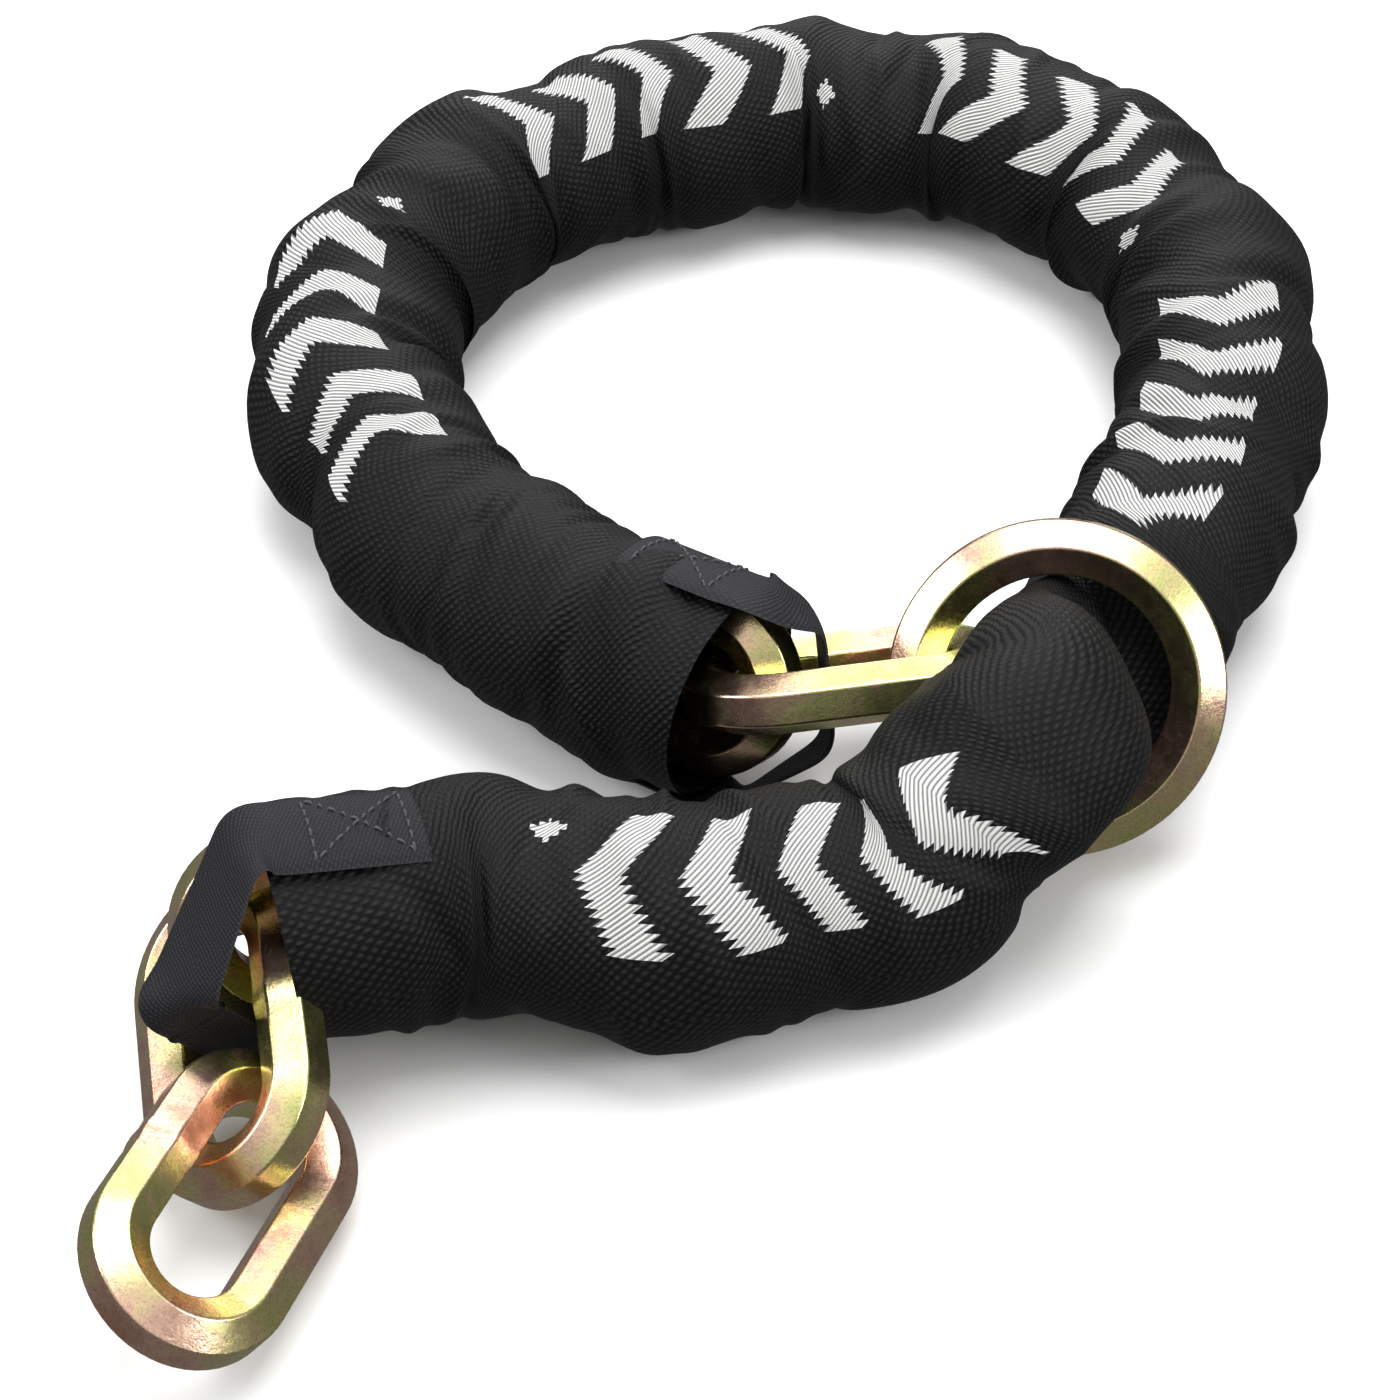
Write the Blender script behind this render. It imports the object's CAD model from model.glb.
import math
import random

import bpy
import numpy as np
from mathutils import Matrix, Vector


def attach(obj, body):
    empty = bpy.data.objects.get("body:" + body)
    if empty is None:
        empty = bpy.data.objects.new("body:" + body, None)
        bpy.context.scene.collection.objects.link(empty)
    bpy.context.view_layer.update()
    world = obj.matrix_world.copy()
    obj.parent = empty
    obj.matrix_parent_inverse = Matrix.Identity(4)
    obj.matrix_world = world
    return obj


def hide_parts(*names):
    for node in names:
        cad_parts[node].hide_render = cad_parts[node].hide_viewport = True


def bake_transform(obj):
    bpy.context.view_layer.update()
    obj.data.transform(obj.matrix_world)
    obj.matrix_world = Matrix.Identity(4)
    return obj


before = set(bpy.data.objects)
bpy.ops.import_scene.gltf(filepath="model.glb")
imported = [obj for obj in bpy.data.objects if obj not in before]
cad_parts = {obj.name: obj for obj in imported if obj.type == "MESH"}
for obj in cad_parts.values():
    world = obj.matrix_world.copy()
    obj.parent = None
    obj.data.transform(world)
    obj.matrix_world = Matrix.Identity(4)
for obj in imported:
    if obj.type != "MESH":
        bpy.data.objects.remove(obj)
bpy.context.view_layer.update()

MM = 0.001
TURN = 2 * math.pi
random.seed(4)
rng = np.random.default_rng(11)

# ---------------------------------------------------------------- layout in mm, the same as the CAD's
LAYOUT_ORIGIN = np.array([18.2, 17.5, -2.54])   # where the object's own origin lies in the layout
WIRE, LENGTH, WIDTH = 12.0, 73.0, 43.0          # a link: bar across its flats, length and width outside
STEP = 14.0                                     # between the middles of two hooked bars
BEND = (WIDTH - WIRE) / 2                       # a link's round end, to the middle of the bar
END_BAR = LENGTH / 2 - WIRE / 2                 # from a link's middle to the middle of its end bar
STRAIGHT = END_BAR - BEND
RING_RADIUS = 31.0                              # to the middle of the bar
FIRST_SLEEVED, RING_LINK, DROP_LINK, MOUTH_LINK = 2, 15, 16, 19

# places in the layout, and turns as heading, climb and roll in degrees
RING_LINK_AT, RING_LINK_TURN = (81.5, -28.2, 32.5), (238, 26, 55)
DROP_LINK_AT, DROP_LINK_TURN = (58, -63, 33.6), (216, -23, 141)
TAIL_TURNS = [(194, 0, 236), (176, 2, 326)]
LAST_LINKS = [((-72.2, -94.8, 30.3), (197, 9, 67)), ((-94.6, -119.6, 21.3), (280, -10, -37)),
              ((-92.6, -158.4, 17.1), (251, 7, 34))]
LOOP_HEADINGS = [62, 71, 89, 113, 143, 171, 196, 214, 240, 268, 295, 315, 328, 368]   # links 14 to 1
LOOP_CLIMBS = [1, 1, 1, 0, 0, 0, 0, 0, 0, 0, 0, 2, 2, 2]
LINK_1_ROLL, ROLL_STEP = -30, 90 + 85 / 14
RING_AT, RING_TILT, RING_AROUND = (78, -28.5, 31.3), 37, 9.5


def turned(heading, climb, roll):
    """A link's own directions: along it, across it and square to its plane."""
    y, p, r = np.radians([heading, climb, roll])
    along = np.array([np.cos(p) * np.cos(y), np.cos(p) * np.sin(y), np.sin(p)])
    left = np.array([-np.sin(y), np.cos(y), 0.0])
    normal = np.cross(along, left) * np.cos(r) + left * np.sin(r)
    return along, np.cross(normal, along), normal


def unit(v):
    return np.asarray(v, float) / np.linalg.norm(v)


centres, frames, joints = {}, {}, {}


def hook(number, new, turn, sign):
    """Place link `new` hooked into link `number`, ahead of it (sign 1) or behind it (-1)."""
    f1, f2 = frames[number], turned(*turn)
    a, b = f1[0] * sign, f2[0] * sign
    u = unit(np.cross(f1[1], f2[1]))
    u = -u if u @ (a + b) < 0 else u
    joint = centres[number] + a * END_BAR - u * STEP / 2
    joints[min(number, new)] = joint
    centres[new] = joint - u * STEP / 2 + b * END_BAR
    frames[new] = f2


def place(new, at, turn):
    """Place link `new` at a point, with its joint midway between the two end bars."""
    centres[new], frames[new] = np.array(at, float) - LAYOUT_ORIGIN, turned(*turn)
    back = centres[new - 1] + frames[new - 1][0] * END_BAR
    joints[new - 1] = (back + centres[new] - frames[new][0] * END_BAR) / 2


centres[RING_LINK], frames[RING_LINK] = np.array(RING_LINK_AT) - LAYOUT_ORIGIN, turned(*RING_LINK_TURN)
for back, (heading, climb) in enumerate(zip(LOOP_HEADINGS, LOOP_CLIMBS)):
    number = RING_LINK - 1 - back
    hook(number + 1, number, (heading + 180, -climb, LINK_1_ROLL + (number - 1) * ROLL_STEP), -1)
place(DROP_LINK, DROP_LINK_AT, DROP_LINK_TURN)
for ahead, turn in enumerate(TAIL_TURNS):
    hook(DROP_LINK + ahead, DROP_LINK + ahead + 1, turn, 1)
for ahead, (at, turn) in enumerate(LAST_LINKS):
    place(MOUTH_LINK + ahead, at, turn)

tilt, around = math.radians(RING_TILT), math.radians(RING_AROUND)
RING_AXIS = np.array([-math.cos(tilt) * math.sin(around), -math.cos(tilt) * math.cos(around), math.sin(tilt)])
RING_SIDE = np.array([math.cos(around), -math.sin(around), 0])


# ---------------------------------------------------------------- materials
class Nodes:
    """Short hands for building one material's node tree."""

    def __init__(self, name):
        self.mat = bpy.data.materials.new(name)
        self.mat.use_nodes = True
        self.tree = self.mat.node_tree
        self.bsdf = self.tree.nodes["Principled BSDF"]

    def new(self, kind, **values):
        node = self.tree.nodes.new(kind)
        for key, value in values.items():
            setattr(node, key, value)
        return node

    def put(self, socket, value):
        if isinstance(value, bpy.types.NodeSocket):
            self.tree.links.new(value, socket)
        else:
            socket.default_value = value

    def shade(self, **values):
        """Set the shader's inputs, named with _ for a space."""
        for key, value in values.items():
            self.put(self.bsdf.inputs[key.replace("_", " ")], value)

    def math(self, op, a, b=0.0):
        node = self.new("ShaderNodeMath", operation=op)
        for socket, value in zip(node.inputs, (a, b)):
            self.put(socket, value)
        return node.outputs[0]

    def add(self, a, b):
        return self.math("ADD", a, b)

    def sub(self, a, b):
        return self.math("SUBTRACT", a, b)

    def mul(self, a, b):
        return self.math("MULTIPLY", a, b)

    def uv(self, name):
        return self.new("ShaderNodeUVMap", uv_map=name).outputs[0]

    def parts(self, vector):
        node = self.new("ShaderNodeSeparateXYZ")
        self.put(node.inputs[0], vector)
        return node.outputs[0], node.outputs[1]

    def noise(self, vector, scale, detail=3.0, rough=0.5):
        node = self.new("ShaderNodeTexNoise")
        for name, value in (("Vector", vector), ("Scale", scale), ("Detail", detail), ("Roughness", rough)):
            self.put(node.inputs[name], value)
        return node.outputs["Fac"]

    def ramp(self, fac, stops):
        node = self.new("ShaderNodeValToRGB")
        elements = node.color_ramp.elements
        while len(elements) < len(stops):
            elements.new(0.5)
        for element, (at, colour) in zip(elements, stops):
            element.position = at
            element.color = (*colour, 1)
        self.put(node.inputs[0], fac)
        return node.outputs[0]

    def mix(self, fac, a, b, blend="MIX"):
        node = self.new("ShaderNodeMix", data_type="RGBA", blend_type=blend)
        for index, value in ((0, fac), (6, a), (7, b)):
            self.put(node.inputs[index], value)
        return node.outputs[2]

    def bump(self, height, strength, distance):
        node = self.new("ShaderNodeBump")
        for name, value in (("Strength", strength), ("Distance", distance), ("Height", height)):
            self.put(node.inputs[name], value)
        self.put(self.bsdf.inputs["Normal"], node.outputs[0])


ZINC = [(0.36, (0.72, 0.42, 0.30)), (0.44, (0.88, 0.58, 0.44)), (0.49, (0.86, 0.66, 0.40)),
        (0.54, (0.80, 0.70, 0.34)), (0.60, (0.66, 0.68, 0.26)), (0.68, (0.86, 0.60, 0.42))]
SPECKS = [(0.38, (0.62, 0.56, 0.50)), (0.52, (1, 1, 1))]


def plated():
    """Yellow zinc plate: drifting gold, pink and green, with fine dull specks."""
    m = Nodes("yellow_zinc")
    at = m.new("ShaderNodeTexCoord").outputs["Object"]
    big, small, grain = m.noise(at, 42, 3, 0.55), m.noise(at, 240, 4, 0.65), m.noise(at, 1700, 3, 0.6)
    gold = m.ramp(m.add(m.mul(big, 0.78), m.mul(small, 0.22)), ZINC)
    colour = m.mix(0.5, gold, m.ramp(grain, SPECKS), "MULTIPLY")
    m.shade(Base_Color=colour, Metallic=1, Roughness=m.add(m.mul(small, 0.22), 0.15))
    m.bump(m.add(m.mul(grain, 0.35), m.mul(small, 0.8)), 0.22, 0.0004)
    return m.mat


# the woven pattern, in mm: chevrons across the tube, and a small lozenge past the last one
CHEVRON, CHEVRON_INK, CHEVRONS = 19.0, 0.46, 5    # spacing, the share of it that is white, how many
CHEVRON_SLOPE, MOTIF_HALF = 0.62, 15.0
MOTIF_LONG = CHEVRON * (CHEVRONS - 1 + CHEVRON_INK)
CELL, PLY = 1.7, 1.25                             # steps of the pattern's edges, spacing of its threads
LOZENGE_PAST, LOZENGE_ASIDE, LOZENGE_HALF = 6.0, 10.0, 3.8
PALE = [(0.0, (0.13, 0.13, 0.13)), (0.35, (0.48, 0.48, 0.47)), (0.8, (0.66, 0.66, 0.65))]


def chevrons(m):
    """Where the pattern is white, and the threads' height there."""
    along, round_tube = m.parts(m.uv("motif"))
    cells = m.math("DIVIDE", round_tube, CELL)
    row = m.math("FLOOR", cells)
    x = m.add(along, m.mul(m.math("FRACT", cells), CELL))
    y = m.math("ABSOLUTE", m.mul(m.add(row, 0.5), CELL))
    run = m.add(x, m.mul(y, CHEVRON_SLOPE))
    bars = m.math("LESS_THAN", m.math("FRACT", m.math("DIVIDE", run, CHEVRON)), CHEVRON_INK)
    inside = m.mul(m.math("LESS_THAN", y, MOTIF_HALF), m.math("GREATER_THAN", run, 0.0))
    stop = m.math("LESS_THAN", run, MOTIF_LONG)
    past = m.math("ABSOLUTE", m.sub(along, MOTIF_LONG + LOZENGE_PAST))
    aside = m.math("ABSOLUTE", m.sub(m.mul(row, CELL), LOZENGE_ASIDE))
    lozenge = m.math("LESS_THAN", m.add(past, aside), LOZENGE_HALF)
    white = m.math("MAXIMUM", m.mul(bars, m.mul(inside, stop)), lozenge)
    ply = m.math("SINE", m.mul(m.add(along, round_tube), TURN / PLY))
    return white, m.add(m.mul(ply, 0.5), 0.5)


def weave(name, pitch, thread, hole, deep, motif=False):
    """Woven cloth of a pitch in mm: the UV map named cloth is in mm, along and round the tube."""
    m = Nodes(name)
    uv = m.uv("cloth")
    u, v = m.parts(uv)
    u = m.add(u, m.mul(m.sub(m.noise(uv, 0.18, 2), 0.5), 1.6))
    # rows of thread crossings, a little off the tube's own directions
    slant = m.add(m.mul(u, 0.86), m.mul(v, 0.5))
    cross = m.sub(m.mul(v, 0.86), m.mul(u, 0.5))
    su = m.math("SINE", m.mul(slant, TURN / pitch))
    sv = m.math("SINE", m.mul(cross, 0.8 * TURN / pitch))
    height = m.mul(m.mul(m.add(su, 1), m.add(m.mul(sv, 0.6), 1)), 0.32)
    tone = m.add(m.mul(height, 0.8), m.mul(m.noise(uv, 5.0, 3), 0.3))
    cloth = m.ramp(tone, [(0.15, hole), (0.85, thread)])
    if motif:
        white, ply = chevrons(m)
        cloth = m.mix(white, cloth, m.ramp(ply, PALE))
        height = m.add(m.mul(height, m.sub(1, white)), m.mul(ply, white))
    m.shade(Base_Color=cloth, Roughness=0.62, Specular_IOR_Level=0.18)
    m.bump(height, 0.8, deep)
    return m.mat


def plain(name, colour, rough, specular=0.5):
    m = Nodes(name)
    m.shade(Base_Color=(*colour, 1), Roughness=rough, Specular_IOR_Level=specular)
    return m.mat


GOLD = plated()
SLEEVE = weave("sleeve_weave", 1.35, (0.0115, 0.0115, 0.0125), (0.0008, 0.0008, 0.0010), 0.0004, True)
STRAP = weave("strap_weave", 0.8, (0.021, 0.022, 0.026), (0.007, 0.007, 0.009), 0.00015)
THREAD = plain("thread", (0.045, 0.045, 0.05), 0.7)


# ---------------------------------------------------------------- mesh helpers
def mesh_object(name, points, faces, material):
    """A smooth-shaded mesh from points in mm."""
    mesh = bpy.data.meshes.new(name)
    mesh.from_pydata([tuple(p) for p in np.asarray(points) * MM], [], faces)
    mesh.materials.append(material)
    mesh.polygons.foreach_set("use_smooth", [True] * len(mesh.polygons))
    ob = bpy.data.objects.new(name, mesh)
    bpy.context.scene.collection.objects.link(ob)
    return ob


def grid_faces(rows, columns, closed=False):
    """Faces between rows of points that go round; closed joins the last row to the first."""
    faces = []
    for i in range(rows if closed else rows - 1):
        for j in range(columns):
            here, ahead, following = i * columns, ((i + 1) % rows) * columns, (j + 1) % columns
            faces.append((here + j, here + following, ahead + following, ahead + j))
    return faces


def corner_cells(mesh, columns):
    """The row and the column of each face corner of a grid mesh."""
    corner = np.empty(len(mesh.loops), int)
    mesh.loops.foreach_get("vertex_index", corner)
    return corner // columns, corner % columns


def add_uv(mesh, name, u, v):
    mesh.uv_layers.new(name=name).data.foreach_set("uv", np.c_[u, v].ravel().astype(np.float32))


def run_lengths(points):
    """Length from the first point to each point."""
    return np.r_[0, np.cumsum(np.linalg.norm(np.diff(points, axis=0), axis=1))]


def eased(rows, reach):
    """Rows averaged over `reach` rows each way, with both ends carried on straight."""
    window = np.hanning(2 * reach + 3)[1:-1]
    window /= window.sum()
    before = rows[0] - (rows[1] - rows[0]) * np.arange(reach, 0, -1)[:, None]
    after = rows[-1] + (rows[-1] - rows[-2]) * np.arange(1, reach + 1)[:, None]
    longer = np.vstack([before, rows, after])
    return np.array([np.convolve(column, window, "valid") for column in longer.T]).T


# ---------------------------------------------------------------- links and ring
CORNER_SOFT, CORNER_STEPS = 0.9, 4
STRAIGHT_STEPS, BEND_STEPS, RING_STEPS = 14, 28, 96
WELD_SWELL, WELD_HALF = 0.05, 2.2
DENT, DENT_AT, DENT_HALF = 0.018, 3.4, 0.9


def hex_profile():
    """Hexagonal bar section with softly rounded corners: (outward, normal) pairs."""
    corner = WIRE / math.sqrt(3)
    out = []
    for k in range(6):
        middle = math.radians(90 - 60 * k)
        centre = np.array([math.cos(middle), math.sin(middle)]) * (corner - CORNER_SOFT * 2 / math.sqrt(3))
        for s in range(CORNER_STEPS + 1):
            a = middle + math.radians(30 - 60 * s / CORNER_STEPS)
            out.append(centre + CORNER_SOFT * np.array([math.cos(a), math.sin(a)]))
    return np.array(out)


PROFILE = hex_profile()


def link_path():
    """Points round the middle of a link's bar, each with its outward direction."""
    path = []
    for side in (-1, 1):
        for x in np.linspace(side * STRAIGHT, -side * STRAIGHT, STRAIGHT_STEPS + 1)[:-1]:
            path.append((x, side * BEND, 0, side))
        for a in np.linspace(side * 90, side * 90 + 180, BEND_STEPS + 1)[:-1]:
            c, s = math.cos(math.radians(a)), math.sin(math.radians(a))
            path.append((-side * STRAIGHT + BEND * c, BEND * s, c, s))
    return path


def link_points(weld_side, weld_at):
    """The link's surface, with a butt weld's swelling and dents on one limb."""
    points = []
    for x, y, out_x, out_y in link_path():
        welded = y * weld_side > BEND - 0.1
        near = math.exp(-(((x - weld_at) / WELD_HALF) ** 2)) * welded
        dent = math.exp(-(((abs(x - weld_at) - DENT_AT) / DENT_HALF) ** 2)) * welded
        for r, n in PROFILE * (1 + WELD_SWELL * near - DENT * dent):
            points.append((x + out_x * r, y + out_y * r, n))
    return np.array(points)


def metal(name, points, body, node):
    """A closed bar, from rows of points that go round its section."""
    ob = mesh_object(name, points, grid_faces(len(points) // len(PROFILE), len(PROFILE), True), GOLD)
    weighted = ob.modifiers.new("weighted", "WEIGHTED_NORMAL")
    weighted.keep_sharp = False
    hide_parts(node)
    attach(ob, body)


for number in sorted(centres):
    local = link_points(-1 if number % 2 else 1, random.uniform(-3, 3))
    metal(f"steel_link_{number:02d}", centres[number] + local @ np.array(frames[number]),
          f"chain_{number:02d}", f"link_{number:02d}")

ring = []
ring_up = np.cross(RING_AXIS, RING_SIDE)
for a in np.linspace(0, TURN, RING_STEPS + 1)[:-1]:
    out = math.cos(a) * RING_SIDE + math.sin(a) * ring_up
    for r, n in PROFILE:
        ring.append(np.array(RING_AT) - LAYOUT_ORIGIN + out * (RING_RADIUS + r) + RING_AXIS * n)
metal("steel_ring", ring, "ring", "noose_ring")

# ---------------------------------------------------------------- the sleeve, one tube
FULL = 24.7                       # the sleeve's half width where nothing presses it
MOUTH_START, MOUTH_END = 4.0, 10.0
LINE_EASE = 17                    # rows, 1 mm apart
# inside the ring: place along link 15, half width, half height
SQUEEZED = ((-14.5, 23.4, 17.5), (-8, 23.7, 9.0), (0, 23.7, 8.3), (8, 23.7, 9.0), (14.5, 23.4, 17.0))
COLS = 160

start_axis = unit(joints[FIRST_SLEEVED] - joints[FIRST_SLEEVED - 1])
start_mouth = joints[FIRST_SLEEVED - 1] + start_axis * MOUTH_START
end_axis = frames[MOUTH_LINK][0]
end_mouth = centres[MOUTH_LINK] + end_axis * MOUTH_END


def along_link(number, distance):
    return centres[number] + frames[number][0] * distance


def sleeve_stations():
    """The sleeve from mouth to mouth: place, 1 where the ring squeezes it, half width, half height."""
    out = [(start_mouth, 0, FULL - 0.4, FULL - 0.4), ((start_mouth + joints[FIRST_SLEEVED]) / 2, 0, FULL, FULL)]
    for n in range(FIRST_SLEEVED, RING_LINK - 1):
        out += [(joints[n], 0, FULL, FULL), (centres[n + 1], 0, FULL, FULL)]
    out.append((joints[RING_LINK - 1] - frames[RING_LINK - 1][0], 1, 22.6, 22.0))
    out += [(along_link(RING_LINK, along), 1, wide, tall) for along, wide, tall in SQUEEZED]
    out.append((along_link(DROP_LINK, 1 + STEP / 2 - END_BAR), 1, 22.2, 21.6))
    out += [(along_link(DROP_LINK, -8), 1, 24.2, 23.4), (along_link(DROP_LINK, 8), 0, 24.6, 23.8)]
    for n in range(DROP_LINK, MOUTH_LINK - 1):
        out += [(joints[n], 0, FULL, FULL), (centres[n + 1], 0, FULL, FULL)]
    out += [(joints[MOUTH_LINK - 1], 0, FULL, FULL), (along_link(MOUTH_LINK, -6), 0, FULL, FULL)]
    return out + [(end_mouth, 0, FULL - 0.3, FULL - 0.3)]


def smooth_curve(points, s, at):
    """Catmull-Rom values at lengths `at` through `points` at lengths `s`."""
    slopes = np.zeros_like(points)
    slopes[1:-1] = (points[2:] - points[:-2]) / (s[2:] - s[:-2])[:, None]
    slopes[0] = (points[1] - points[0]) / (s[1] - s[0])
    slopes[-1] = (points[-1] - points[-2]) / (s[-1] - s[-2])
    i = np.clip(np.searchsorted(s, at) - 1, 0, len(s) - 2)
    h = (s[i + 1] - s[i])[:, None]
    t = (at - s[i])[:, None] / h
    a = (2 * t**3 - 3 * t**2 + 1) * points[i] + (t**3 - 2 * t**2 + t) * h * slopes[i]
    return a + (-2 * t**3 + 3 * t**2) * points[i + 1] + (t**3 - t**2) * h * slopes[i + 1]


places, squeezes, wides, talls = zip(*sleeve_stations())
places = np.array(places)
station_s = run_lengths(places)
SLEEVE_LONG = station_s[-1]
s_row = np.linspace(0, SLEEVE_LONG, int(SLEEVE_LONG))
# the cloth turns more gently than the chain inside it
line = eased(smooth_curve(places, station_s, s_row), LINE_EASE)
tangent = np.gradient(line, axis=0)
tangent /= np.linalg.norm(tangent, axis=1)[:, None]
half_wide, half_tall, squeeze = (np.interp(s_row, station_s, v)[:, None] for v in (wides, talls, squeezes))


def side_direction(forward, q):
    """Level and to the left of the way forward; where the ring squeezes, across link 15 instead."""
    level = unit(np.cross([0, 0, 1], forward))
    lean = frames[RING_LINK][1]
    lean = unit(lean - forward * (lean @ forward))
    lean = lean if lean @ level > 0 else -lean
    return unit(level * (1 - q) + lean * q)


side_dir = np.array([side_direction(forward, q) for forward, q in zip(tangent, squeeze[:, 0])])
up_dir = np.cross(tangent, side_dir)
phi = np.linspace(0, TURN, COLS, endpoint=False)
S, PHI = np.meshgrid(s_row, phi, indexing="ij")


def row_near(point):
    return int(np.argmin(np.linalg.norm(line - point, axis=1)))


def folds(count, height, narrow, spread, slope):
    """Raised creases that run part of the way round the tube."""
    total = np.zeros_like(S)
    for _ in range(count):
        s0, p0 = rng.uniform(0, SLEEVE_LONG), rng.uniform(0, TURN)
        d = (PHI - p0 + math.pi) % TURN - math.pi
        width, angle = narrow * rng.uniform(0.7, 1.6), spread * rng.uniform(0.6, 1.5)
        k = rng.uniform(-slope, slope)
        near = np.abs(s_row - s0) < 60
        x = (S[near] - s0 - k * d[near] - 2.2 * np.sin(2 * d[near] + p0)) / width
        total[near] += height * rng.uniform(0.4, 1.2) * np.exp(-(x**2)) * np.exp(-((d[near] / angle) ** 2))
    return total


def between_sides():
    """Between its ends each link holds the cloth out only on its two broad sides."""
    total = np.zeros_like(S)
    for n in range(FIRST_SLEEVED, MOUTH_LINK + 1):
        row = row_near(centres[n])
        broad = math.atan2(frames[n][1] @ up_dir[row], frames[n][1] @ side_dir[row])
        near = np.exp(-(((S - s_row[row]) / 13.0) ** 4))
        total += 2.5 * near * np.abs(np.sin(PHI - broad)) ** 1.5
    return total


# at each joint: how far along from it, how high (a hollow is negative), how wide
PUCKERS = ((0, -2.1, 2.6), (6.5, 1.5, 2.8), (-6.5, 1.6, 2.8), (12, -1.7, 2.2), (-13, -1.7, 2.4))


def puckers():
    """The cloth puckers on the inside of the loop, at each joint."""
    total = np.zeros_like(S)
    for n in range(FIRST_SLEEVED, RING_LINK):
        s0 = s_row[row_near(joints[n])]
        inner = np.clip(-np.cos(PHI + rng.uniform(-0.4, 0.4)), 0, 1) ** 1.2
        for shift, depth, width in PUCKERS:
            x = (S - s0 - shift + rng.uniform(-3.5, 3.5) - rng.uniform(-6, 6) * np.sin(PHI + n)) / width
            total += depth * rng.uniform(0.7, 1.2) * np.exp(-(x**2)) * inner
    return total


def sleeve_relief():
    """How far the cloth stands out from its plain section, and in where negative."""
    relief = folds(300, 1.5, 2.1, 0.7, 11) + folds(80, 2.0, 6.0, 1.0, 16) - folds(230, 1.6, 2.0, 0.65, 11)
    relief += 0.3 * np.sin(S / 9.0 + 1.3 * np.sin(3 * PHI)) - between_sides() + puckers()
    # hollows are a little shallower, and everything is calmer inside the ring
    relief = np.clip(np.where(relief < 0, relief * 0.85, relief) * (1 - 0.72 * squeeze), -5.0, 3.2)
    for _ in range(2):
        relief = (np.roll(relief, 1, 1) + relief * 2 + np.roll(relief, -1, 1)) / 4
        relief[1:-1] = (relief[:-2] + relief[1:-1] * 2 + relief[2:]) / 4
    # nearly smooth at the hems
    return relief * np.clip(np.minimum(S, SLEEVE_LONG - S) / 12.0, 0.2, 1)


def sleeve_tube():
    """The wrinkled tube's points, one row for each place along it."""
    relief = sleeve_relief()
    c, s = np.cos(PHI), np.sin(PHI)
    power = 2.0 + 0.6 * squeeze
    norm = (np.abs(c) ** power + np.abs(s) ** power) ** (1 / power)
    across, high = (half_wide / norm + relief) * c, (half_tall / norm + relief) * s
    tube = line[:, None, :] + side_dir[:, None, :] * across[..., None] + up_dir[:, None, :] * high[..., None]
    # both mouths reach further over the chain at the top
    top = 0.5 + 0.5 * s
    to_start, to_end = (np.clip((22 - way) / 22, 0, 1) ** 2 * top for way in (S, SLEEVE_LONG - S))
    return tube + tangent[:, None, :] * (10.0 * to_end - 2.5 * to_start)[..., None]


FLOOR_CLEAR, FLOOR_SOFT, HEM_LOWEST = 0.45, 2.0, 1.2
tube = sleeve_tube()
# the weight of the chain flattens the cloth on the floor
sunk = tube[..., 2] - FLOOR_CLEAR - FLOOR_SOFT
pressed = FLOOR_CLEAR + FLOOR_SOFT * np.exp(np.minimum(sunk / FLOOR_SOFT, 0))
tube[..., 2] = np.where(sunk < 0, pressed, tube[..., 2])

normals = np.cross(np.roll(tube, -1, 1) - np.roll(tube, 1, 1), np.gradient(tube, axis=0))
normals /= np.maximum(np.linalg.norm(normals, axis=2)[..., None], 1e-9)
normals *= np.sign((normals * (tube - line[:, None, :])).sum(2))[..., None]

joint_s = {n: s_row[row_near(joints[n])] for n in range(FIRST_SLEEVED, MOUTH_LINK)}
middle_s = {n: s_row[row_near(centres[n])] for n in range(FIRST_SLEEVED, MOUTH_LINK + 1)}

# a turned-in hem at each mouth: rows inside the outer ones, a cloth's thickness in
HEM_ROWS, HEM_IN, HEM_PITCH = [9, 7, 5, 3, 1], 1.3, 2.0
HEM_ROWS_END = [-row - 1 for row in reversed(HEM_ROWS)]
HEM = len(HEM_ROWS)
hems = [tube[rows] - HEM_IN * normals[rows] for rows in (HEM_ROWS, HEM_ROWS_END)]
for hem in hems:
    hem[..., 2] = np.maximum(hem[..., 2], HEM_LOWEST)
tube = np.concatenate([hems[0], tube, hems[1]])
normals = np.concatenate([-normals[HEM_ROWS], normals, -normals[HEM_ROWS_END]])
tangent = np.concatenate([np.repeat(tangent[:1], HEM, 0), tangent, np.repeat(tangent[-1:], HEM, 0)])
hem_s = HEM_PITCH * np.arange(1, HEM + 1)
s_row = np.concatenate([s_row[0] - hem_s[::-1], s_row, s_row[-1] + hem_s])

# the woven patterns: where each begins along the tube, and the angle in degrees that it is centred on
MOTIFS = np.array([(joint_s[3] + 12, 72), (joint_s[6] + 14, 108), (joint_s[9] - 2, 118),
                   (joint_s[12] - 9, 98), (joint_s[15] + 34, 66)])


def motif_uv(mesh, first, row, angle):
    """Lengths along and round each face's nearest pattern: none is torn at a face's border."""
    cells = np.arange(len(mesh.polygons))
    face_s, face_angle = np.repeat(s_row[first + cells // COLS], 4), np.repeat(phi[cells % COLS], 4)
    nearest = np.argmin([np.abs(face_s - begin - MOTIF_LONG / 2) for begin, _ in MOTIFS], axis=0)
    middle = np.radians(MOTIFS[nearest, 1])
    turns = np.round((face_angle - middle) / TURN) * TURN
    return s_row[first + row] - MOTIFS[nearest, 0], (angle - middle - turns) * FULL


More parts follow.
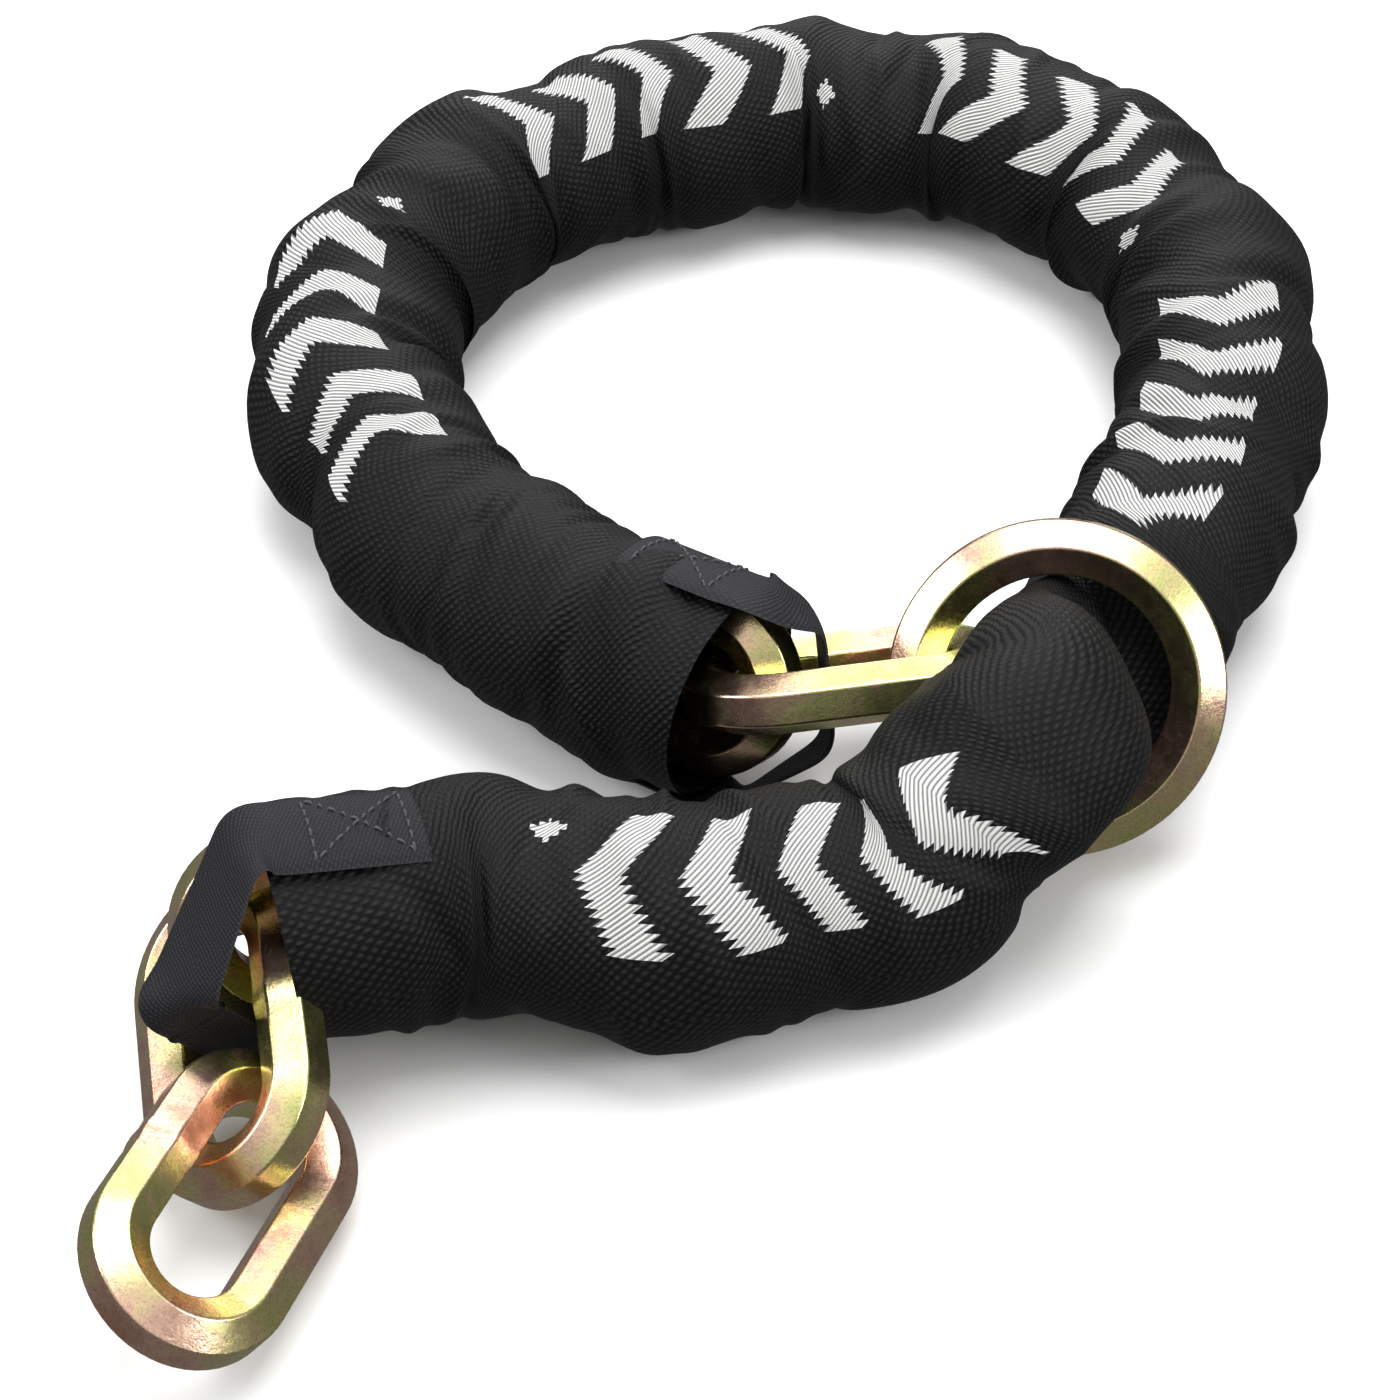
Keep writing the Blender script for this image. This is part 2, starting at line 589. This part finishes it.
def cut_sleeve(name, first, last, bodies, nodes):
    """Rows first to last of the tube as one piece, riding on a body or blended over a joint."""
    rows = slice(first, last + 1)
    ob = mesh_object(name, tube[rows].reshape(-1, 3), grid_faces(last + 1 - first, COLS), SLEEVE)
    mesh = ob.data
    row, col = corner_cells(mesh, COLS)
    closing = np.repeat(np.arange(len(mesh.polygons)) % COLS == COLS - 1, 4) & (col == 0)
    angle = phi[col] + closing * TURN
    add_uv(mesh, "cloth", s_row[first + row], angle * FULL)
    add_uv(mesh, "motif", *motif_uv(mesh, first, row, angle))
    mesh.normals_split_custom_set_from_vertices([tuple(v) for v in normals[rows].reshape(-1, 3)])
    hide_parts(*nodes)
    if len(bodies) == 1:
        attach(ob, bodies[0])
    else:
        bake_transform(ob)


def row_of(s):
    return int(np.argmin(np.abs(s_row - s)))


MOUTH_PIECE_BACK = 10             # the free end's mouth piece starts this far before link 19's middle
cuts = {n: row_of(s - (MOUTH_PIECE_BACK if n == MOUTH_LINK else 0)) for n, s in middle_s.items()}
cut_sleeve("cloth_mouth_ring_end", 0, cuts[FIRST_SLEEVED], [f"chain_{FIRST_SLEEVED:02d}"], [])
for n in range(FIRST_SLEEVED, MOUTH_LINK):
    bodies = [f"chain_{n:02d}", f"chain_{n + 1:02d}"]
    cut_sleeve(f"cloth_{n:02d}", cuts[n], cuts[n + 1], bodies, [f"sleeve_{n:02d}"])
cut_sleeve("cloth_mouth_free_end", cuts[MOUTH_LINK], len(s_row) - 1, [f"chain_{MOUTH_LINK}"],
           [f"sleeve_{MOUTH_LINK}"])

# ---------------------------------------------------------------- straps
WEB_WIDE, WEB_HALF_THICK, WEB_LOWEST = 21.0, 0.55, 0.3
WEB_HALF = (10.5, 9.2, 7.4)       # half width on the sleeve, at the link's face and in its hole
TAB_OVER = 1.6                    # the tabs' middle above the plain sleeve
TAB_TOP, TAB_UNDER = 30, 26       # how far back from the mouth the tabs reach
WEB_PITCH, WEB_EASE, WEB_ACROSS = 0.8, 12, 25
STITCH_LONG, STITCH_SHARE, STITCH_RADIUS = 2.6, 0.68, 0.33
BOX_LONG, BOX_HALF, BOX_IN = 20, 8.5, (3.0, 25.0)
STITCH_RISE = ((0, -0.35), (0.25, 0.15), (0.75, 0.15), (1, -0.35))


class Webbing:
    """A strap's route: a tab on the sleeve, over the mouth, through the bare link, back underneath."""

    def __init__(self, mouth, outward, bare, along, over, past, lead, facing):
        rise = unit(facing - outward * (facing @ outward))
        side = np.cross(outward, rise)
        across_hole = frames[bare][1]
        across_hole = across_hole if across_hole @ side > 0 else -across_hole
        hole, through = along_link(bare, along), frames[bare][2] * over
        mouth = mouth + outward * past
        out = rise * (FULL + TAB_OVER)
        corners, wide, up = zip(
            (mouth - outward * TAB_TOP + out, side, rise),
            (mouth + outward * lead + out + rise * 0.5, side, rise),
            (hole + through, across_hole, unit(outward + rise)),
            (hole - through, across_hole, unit(outward - rise)),
            (mouth + outward * 3 - out, side, -rise),
            (mouth - outward * TAB_UNDER - out, side, -rise))
        self.corner_s = run_lengths(np.array(corners))
        self.at = np.arange(0, self.corner_s[-1], WEB_PITCH)
        self.middle, self.wide, up = (self.rounded(values) for values in (corners, wide, up))
        ahead = np.gradient(self.middle, axis=0)
        ahead /= np.linalg.norm(ahead, axis=1)[:, None]
        self.wide -= ahead * (self.wide * ahead).sum(1)[:, None]
        self.wide /= np.linalg.norm(self.wide, axis=1)[:, None]
        self.up = np.cross(ahead, self.wide)
        self.up *= np.sign((self.up * up).sum(1))[:, None]

    def rounded(self, values):
        """Values along the route with its corners rounded off."""
        columns = np.array(values).T
        return eased(np.array([np.interp(self.at, self.corner_s, column) for column in columns]).T, WEB_EASE)

    def grid(self):
        """Rows of points round the strap's section."""
        s = self.corner_s
        hole = (s[2] + s[3]) / 2
        half = np.interp(self.at, [s[1], s[2], hole - 9, hole + 9, s[3], s[4]], WEB_HALF + WEB_HALF[::-1])
        curl = np.interp(self.at, [0, s[1] - 8, s[1] + 6, s[4] - 4, s[4] + 6, s[-1]], [1, 1, 0.3, 0.3, 1, 1])
        across = np.linspace(-1, 1, WEB_ACROSS)
        rim = WEB_HALF_THICK * (1 - np.abs(across) ** 14)
        rows = []
        for k in range(len(self.at)):
            y = across * half[k]
            drop = -curl[k] * (FULL - np.sqrt(FULL**2 - y**2))
            flat = self.middle[k] + self.wide[k] * y[:, None]
            faces = flat + self.up[k] * (drop + rim)[:, None], flat + self.up[k] * (drop - rim)[:, None]
            rows.append(np.vstack([faces[0], faces[1][::-1]]))
        return np.array(rows)

    def on_tab(self, s, y):
        """A point on the strap's outer face, and its outward direction."""
        k = int(np.argmin(np.abs(self.at - s)))
        drop = FULL - math.sqrt(FULL**2 - y * y)
        return self.middle[k] + self.wide[k] * y + self.up[k] * (WEB_HALF_THICK + 0.1 - drop), self.up[k]


def stitch_points(a, b, rise):
    """One stitch from a to b: it comes up out of the webbing and goes back in."""
    aside = np.cross(unit(b - a), rise)
    points = []
    for share, height in STITCH_RISE:
        middle = a + (b - a) * share + rise * height
        for angle in np.arange(6) * math.pi / 3:
            points.append(middle + STITCH_RADIUS * (math.cos(angle) * aside + math.sin(angle) * rise))
    return points


def stitching(web):
    """A bar at each end of a tab and a cross between them, on both tabs."""
    lines = [((0, -1), (0, 1)), ((1, -1), (1, 1)), ((0, -1), (1, 1)), ((0, 1), (1, -1))]
    scale = np.array([BOX_LONG, BOX_HALF])
    points, faces = [], []
    for start in (BOX_IN[0], web.corner_s[-1] - BOX_IN[1]):
        for first, last in np.array(lines) * scale:
            count = int(np.linalg.norm(last - first) / STITCH_LONG)
            for i in range(count):
                ends = [first + (last - first) * share / count for share in (i, i + STITCH_SHARE)]
                (a, rise), (b, _) = (web.on_tab(start + s, y) for s, y in ends)
                if np.linalg.norm(b - a) > 0.3:
                    faces += [tuple(len(points) + v for v in face) for face in grid_faces(len(STITCH_RISE), 6)]
                    points += stitch_points(a, b, rise)
    return points, faces


def strap(end, body, web):
    grid = web.grid()
    rows, cols = grid.shape[:2]
    points = grid.reshape(-1, 3)
    points[:, 2] = np.maximum(points[:, 2], WEB_LOWEST)
    faces = grid_faces(rows, cols)
    faces += [tuple(range(cols)), tuple(reversed(range((rows - 1) * cols, rows * cols)))]
    ob = mesh_object(f"webbing_{end}", points, faces, STRAP)
    row, col = corner_cells(ob.data, cols)
    across = np.linspace(-1, 1, WEB_ACROSS)
    add_uv(ob.data, "cloth", web.at[row], np.r_[across, across[::-1]][col] * 10)
    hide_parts(f"strap_{end}")
    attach(ob, body)
    threads = mesh_object(f"webbing_{end}_stitching", *stitching(web), THREAD)
    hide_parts(f"stitches_{end}")
    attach(threads, body)


strap("ring_end", f"chain_{FIRST_SLEEVED:02d}",
      Webbing(start_mouth, -start_axis, FIRST_SLEEVED - 1, 4.5, 15.0, 2.0, 4.0, frames[FIRST_SLEEVED - 1][2]))
strap("free_end", f"chain_{MOUTH_LINK}",
      Webbing(end_mouth, end_axis, MOUTH_LINK + 1, 1.0, 17.0, 7.0, 7.0, np.array([0, 0, 1.0])))

# ---------------------------------------------------------------- floor, light and camera
bpy.ops.mesh.primitive_plane_add(size=8, location=(0, 0, 0))
floor = bpy.context.object
floor.data.materials.append(plain("floor", (0.93, 0.93, 0.93), 0.9, 0.1))
floor.visible_glossy = False

# place, aimed at, size and power
LIGHTS = {"top": ((0.1, 0.25, 1.5), (0, 0.02, 0), 1.1, 22), "left": ((-1.2, -0.2, 0.9), (0, 0, 0), 0.7, 11),
          "right": ((1.2, -0.5, 0.7), (0, 0, 0), 0.6, 9), "back": ((0.0, 1.3, 0.6), (0, 0, 0), 0.9, 9)}
for name, (at, to, size, power) in LIGHTS.items():
    light = bpy.data.lights.new(name, "AREA")
    light.shape, light.size, light.energy = "SQUARE", size, power
    lamp = bpy.data.objects.new(name, light)
    bpy.context.scene.collection.objects.link(lamp)
    lamp.location = at
    lamp.rotation_euler = (Vector(to) - Vector(at)).to_track_quat("-Z", "Y").to_euler()

world = bpy.data.worlds.new("studio")
bpy.context.scene.world = world
world.use_nodes = True
tree = world.node_tree
sky, parts, fade = (tree.nodes.new(f"ShaderNode{kind}") for kind in ("TexCoord", "SeparateXYZ", "ValToRGB"))
tree.links.new(sky.outputs["Generated"], parts.inputs[0])
tree.links.new(parts.outputs[2], fade.inputs[0])
tree.links.new(fade.outputs[0], tree.nodes["Background"].inputs[0])
for at, grey in ((0.0, 0.20), (0.25, 0.12), (0.55, 0.55), (0.8, 1.0)):
    element = fade.color_ramp.elements[0] if at == 0 else fade.color_ramp.elements.new(at)
    element.color = (grey, grey, grey, 1)
tree.nodes["Background"].inputs[1].default_value = 0.85

lens = bpy.data.cameras.new("camera")
lens.lens, lens.sensor_width = 84.86, 36
camera = bpy.data.objects.new("camera", lens)
bpy.context.scene.collection.objects.link(camera)
camera.location = (-0.0182, -0.5678, 0.53394)
camera.rotation_euler = (math.radians(46), 0, 0)
bpy.context.scene.camera = camera
bpy.context.scene.view_settings.view_transform = "Standard"
